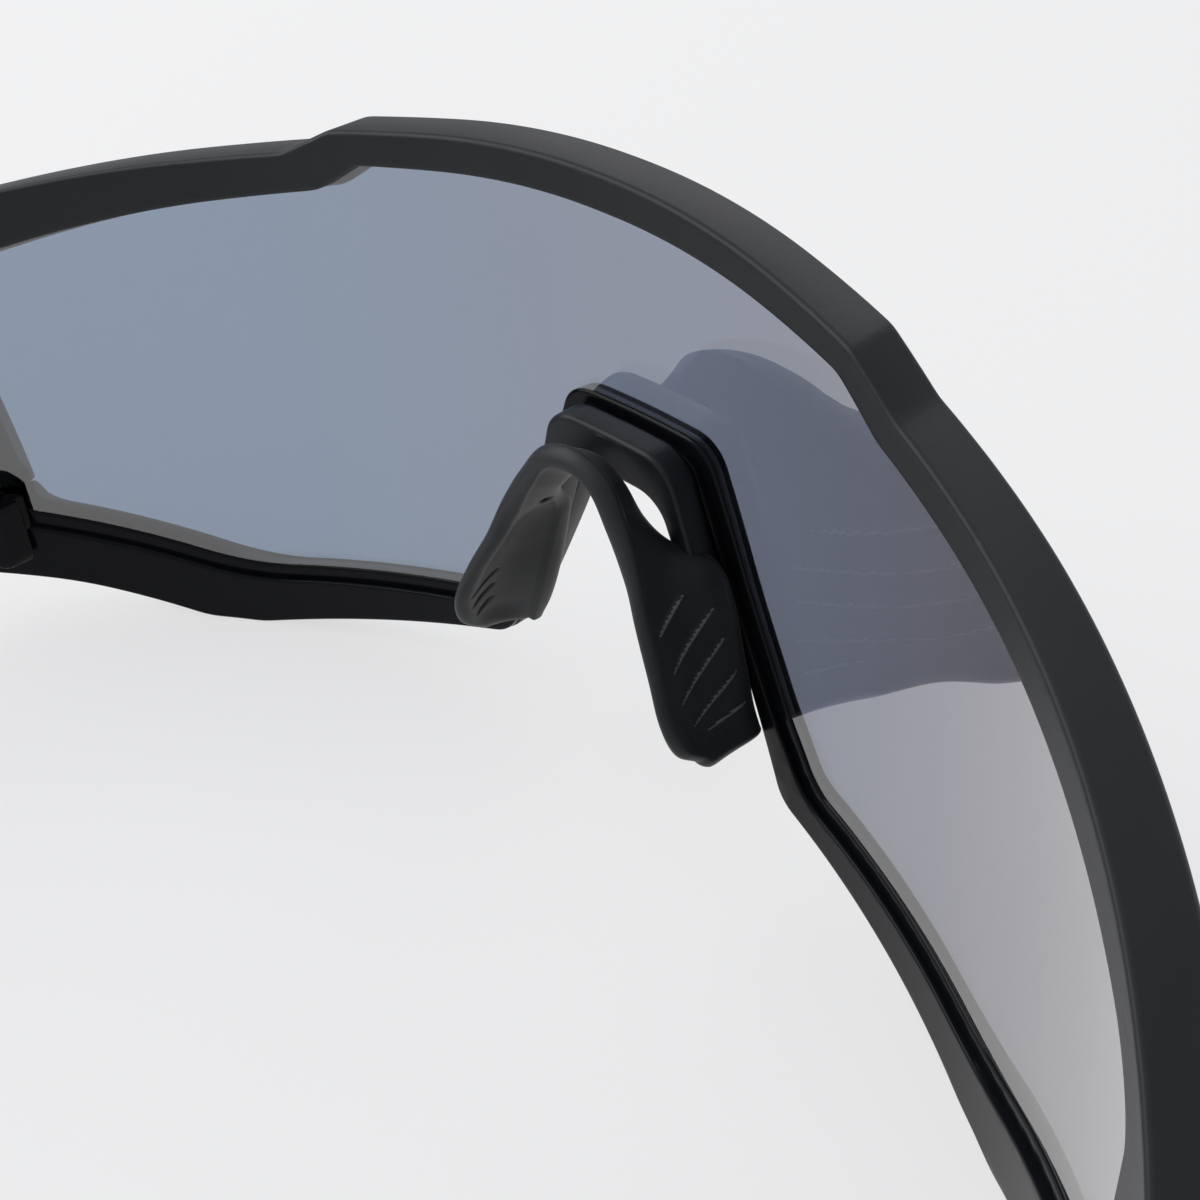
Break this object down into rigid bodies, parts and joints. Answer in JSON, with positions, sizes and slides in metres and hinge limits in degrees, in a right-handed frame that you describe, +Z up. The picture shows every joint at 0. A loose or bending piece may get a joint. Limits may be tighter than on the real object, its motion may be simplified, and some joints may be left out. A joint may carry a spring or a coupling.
{
  "type": "wraparound sport sunglasses",
  "caption": "Wraparound shield sunglasses: matte brow rim, glossy lower rim, tinted curved lens, soft nosepiece and folding temples.",
  "frame": {"origin": "middle of the glasses' footprint on the surface they stand on, temples open", "axes": "+Y from the front back along the temples, +X to the wearer's left, +Z up"},
  "size_m": [0.137, 0.1628, 0.0521],
  "materials": {
    "frame_matte": "matte anthracite black nylon",
    "rim_gloss": "polished black nylon",
    "lens_tint": "smooth polycarbonate with a blue-grey tint",
    "carrier_matte": "fine matte black",
    "pad_rubber": "soft matte black rubber",
    "hinge_steel": "dark satin stainless steel",
    "screw_steel": "satin stainless steel"
  },
  "bodies": {
    "front": {"brow_rim": "frame_matte", "lower_rim": "rim_gloss", "lens": "lens_tint", "nose_carrier": "carrier_matte", "nose_pad": "pad_rubber", "rim_screw_left": "screw_steel", "rim_screw_right": "screw_steel", "hinge_block_left": "hinge_steel", "hinge_block_right": "hinge_steel", "hinge_screw_left": "screw_steel", "hinge_screw_right": "screw_steel", "hinge_nut_left": "screw_steel", "hinge_nut_right": "screw_steel"},
    "left_temple": {"temple_arm_left": "frame_matte", "temple_core_left": "hinge_steel", "temple_tip_left": "pad_rubber", "temple_grip_left": "pad_rubber"},
    "right_temple": {"temple_arm_right": "frame_matte", "temple_core_right": "hinge_steel", "temple_tip_right": "pad_rubber", "temple_grip_right": "pad_rubber"}
  },
  "joints": [
    {"name": "left_temple_fold", "type": "hinge", "parent": "front", "child": "left_temple", "pos_m": [0.0616, -0.03635, 0.0275], "axis": [0, 0, 1], "range_deg": [0, 80]},
    {"name": "right_temple_fold", "type": "hinge", "parent": "front", "child": "right_temple", "pos_m": [-0.0616, -0.03635, 0.0275], "axis": [0, 0, -1], "range_deg": [0, 92]}
  ]
}
